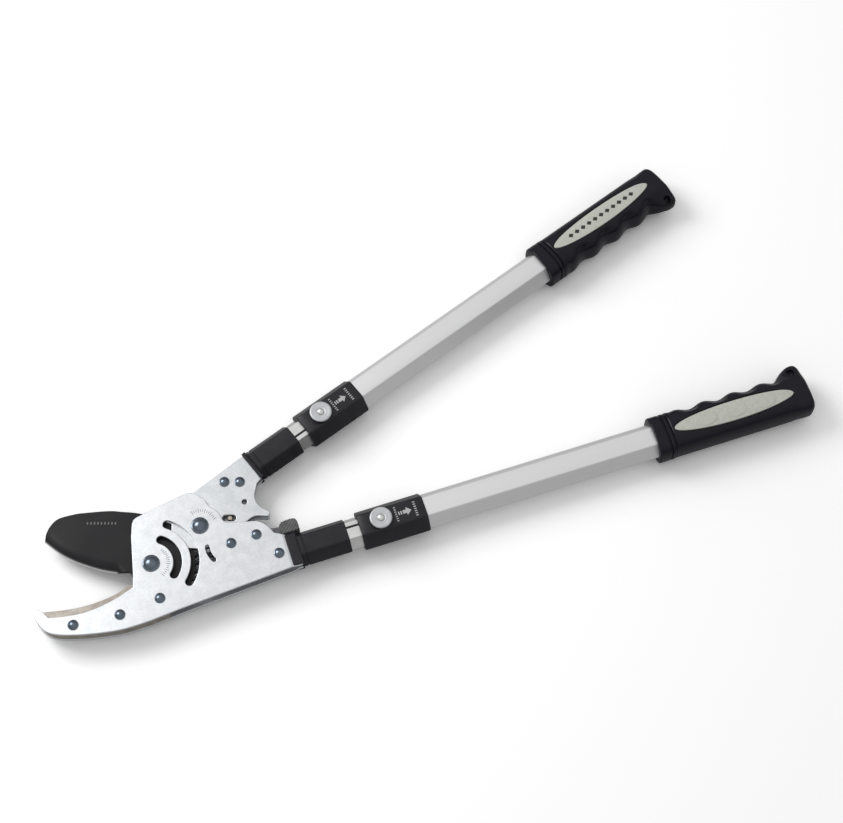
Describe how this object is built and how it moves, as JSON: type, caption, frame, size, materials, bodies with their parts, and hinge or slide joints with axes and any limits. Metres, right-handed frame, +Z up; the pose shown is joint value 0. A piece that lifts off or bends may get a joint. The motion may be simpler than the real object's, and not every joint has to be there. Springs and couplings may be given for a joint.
{
  "type": "bypass loppers",
  "caption": "Long-handled bypass cutter with a hooked jaw, a toothed ratchet blade, telescopic tube handles with push-button locks, and rubber grips.",
  "frame": {"origin": "bottom centre of the whole tool lying flat, handles in", "axes": "+X runs from the jaws along the handles to the grips, +Z is up through the front face"},
  "size_m": [0.6466, 0.4438, 0.0351],
  "materials": {
    "zinc": "zinc-plated sheet, fine grain",
    "lever_steel": "plated sheet",
    "rivet_steel": "polished, domed",
    "coated_steel": "black non-stick coat, satin",
    "bare_steel": "bare sheet steel, dull",
    "hard_steel": "hardened steel, dark",
    "aluminium": "satin anodised",
    "bright_tube": "bright drawn",
    "black_plastic": "fine grained",
    "grey_plastic": "satin",
    "grip_rubber": "soft gloss",
    "grip_inlay": "fine grained",
    "button_grey": "satin"
  },
  "bodies": {
    "frame": {"front_side_plate": "zinc", "rear_side_plate": "zinc", "counter_blade": "bare_steel", "hook_spacer": "bare_steel", "tang_spacer": "hard_steel", "hook_rivet_tip": "rivet_steel", "hook_rivet_middle": "rivet_steel", "hook_rivet_heel": "rivet_steel", "tang_rivet": "rivet_steel", "blade_pivot_rivet": "rivet_steel", "lever_pivot_rivet": "rivet_steel", "pawl_pivot_rivet": "rivet_steel", "release_pivot_rivet": "rivet_steel", "blade_washer_front": "hard_steel", "blade_washer_rear": "hard_steel", "blade_return_spring": "rivet_steel", "holding_pawl_spring": "rivet_steel", "lower_ferrule": "black_plastic", "lower_inner_tube": "bright_tube", "lower_tube_slide": "black_plastic"},
    "blade": {"blade": "coated_steel"},
    "lever": {"front_lever_plate": "lever_steel", "rear_lever_plate": "lever_steel", "lever_spacer": "hard_steel", "lever_rivet_inner": "rivet_steel", "lever_rivet_outer": "rivet_steel", "spring_post": "hard_steel", "drive_pawl_pin": "hard_steel", "drive_pawl_spring": "rivet_steel", "upper_ferrule": "black_plastic", "upper_inner_tube": "bright_tube", "upper_tube_slide": "black_plastic"},
    "drive_pawl": {"drive_pawl": "hard_steel"},
    "release_lever": {"release_lever": "grey_plastic", "thumb_pad": "grey_plastic"},
    "holding_pawl": {"holding_pawl": "hard_steel", "pawl_stop_pin": "rivet_steel"},
    "lower_handle": {"lower_outer_tube": "aluminium", "lower_lock_collar": "black_plastic", "lower_grip": "grip_rubber", "lower_front_inlay": "grip_inlay", "lower_rear_inlay": "grip_inlay", "lower_button_spring": "rivet_steel"},
    "upper_handle": {"upper_outer_tube": "aluminium", "upper_lock_collar": "black_plastic", "upper_grip": "grip_rubber", "upper_front_inlay": "grip_inlay", "upper_rear_inlay": "grip_inlay", "upper_button_spring": "rivet_steel"},
    "lower_button": {"lower_button_cap": "button_grey", "lower_button_rivet": "rivet_steel", "lower_lock_pin": "rivet_steel"},
    "upper_button": {"upper_button_cap": "button_grey", "upper_button_rivet": "rivet_steel", "upper_lock_pin": "rivet_steel"}
  },
  "joints": [
    {"name": "blade_swing", "type": "hinge", "parent": "frame", "child": "blade", "pos_m": [-0.23231, -0.16087, 0.0165], "axis": [0, 0, 1], "range_deg": [0, 39]},
    {"name": "lever_swing", "type": "hinge", "parent": "frame", "child": "lever", "pos_m": [-0.19454, -0.12781, 0.0165], "axis": [0, 0, 1], "range_deg": [-17, 36]},
    {"name": "drive_pawl_swing", "type": "hinge", "parent": "lever", "child": "drive_pawl", "pos_m": [-0.19024, -0.1395, 0.0165], "axis": [0, 0, 1], "range_deg": [0, 9]},
    {"name": "release_swing", "type": "hinge", "parent": "frame", "child": "release_lever", "pos_m": [-0.1479, -0.13561, 0.0165], "axis": [0, 0, -1], "range_deg": [-8, 0]},
    {"name": "holding_pawl_swing", "type": "hinge", "parent": "frame", "child": "holding_pawl", "pos_m": [-0.1682, -0.14321, 0.0165], "axis": [0, 0, 1], "range_deg": [-5.2, 0]},
    {"name": "lower_extend", "type": "slide", "parent": "frame", "child": "lower_handle", "axis": [0.9483, 0.3173, 0], "range_m": [0, 0.19]},
    {"name": "upper_extend", "type": "slide", "parent": "lever", "child": "upper_handle", "axis": [0.7848, 0.6198, 0], "range_m": [0, 0.19]},
    {"name": "lower_lock_press", "type": "slide", "parent": "lower_handle", "child": "lower_button", "axis": [0, 0, -1], "range_m": [0, 0.002], "stiffness_N_per_m": 500, "springref_m": -0.002, "deforming": ["lower_button_spring"]},
    {"name": "upper_lock_press", "type": "slide", "parent": "upper_handle", "child": "upper_button", "axis": [0, 0, -1], "range_m": [0, 0.002], "stiffness_N_per_m": 500, "springref_m": -0.002, "deforming": ["upper_button_spring"]}
  ],
  "couplings": [
    {"joint": "holding_pawl_swing", "follows": "release_swing", "ratio": 0.65}
  ]
}
